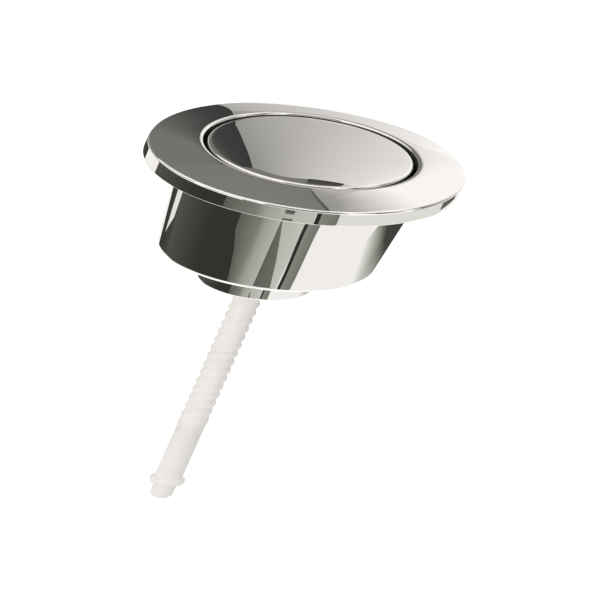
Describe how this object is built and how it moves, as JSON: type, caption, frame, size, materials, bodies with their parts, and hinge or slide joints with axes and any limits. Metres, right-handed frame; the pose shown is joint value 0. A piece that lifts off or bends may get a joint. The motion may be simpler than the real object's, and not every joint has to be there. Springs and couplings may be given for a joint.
{
  "type": "push button cistern actuator",
  "caption": "Round push button for a cistern lid: plated flanged cup with a collar, domed sprung button, and a screwed rod below that presses the flush valve.",
  "frame": {"origin": "on the button's axis, in the plane where the flange sits on the cistern lid", "axes": "+Z along the axis, out of the lid towards the user's finger; the part is round, so X and Y are free"},
  "size_m": [0.06, 0.06, 0.1361],
  "materials": {
    "chrome_plate": "mirror chrome on a plastic moulding",
    "natural_plastic": "translucent natural plastic",
    "white_plastic": "satin white moulding",
    "spring_steel": "drawn stainless steel",
    "foam": "closed-cell foam"
  },
  "bodies": {
    "cup_body": {"housing": "chrome_plate", "seating_ring": "foam", "return_spring": "spring_steel"},
    "clip_body": {"retaining_clip": "spring_steel"},
    "button_body": {"button_cap": "chrome_plate", "plunger": "white_plastic"},
    "rod_body": {"push_rod": "natural_plastic"}
  },
  "joints": [
    {"name": "button_travel", "type": "slide", "parent": "cup_body", "child": "clip_body", "axis": [0, 0, -1], "range_m": [0, 0.012], "stiffness_N_per_m": 500, "springref_m": -0.012, "deforming": ["return_spring"]},
    {"name": "button_turn", "type": "hinge", "parent": "clip_body", "child": "button_body", "pos_m": [0, 0, 0], "axis": [0, 0, 1], "range_deg": [-1080, 1080]},
    {"name": "rod_length", "type": "slide", "parent": "clip_body", "child": "rod_body", "axis": [0, 0, 1], "range_m": [-0.0097, 0.0097]}
  ],
  "couplings": [
    {"joint": "rod_length", "follows": "button_turn", "m_per_rad": -0.0005093}
  ]
}
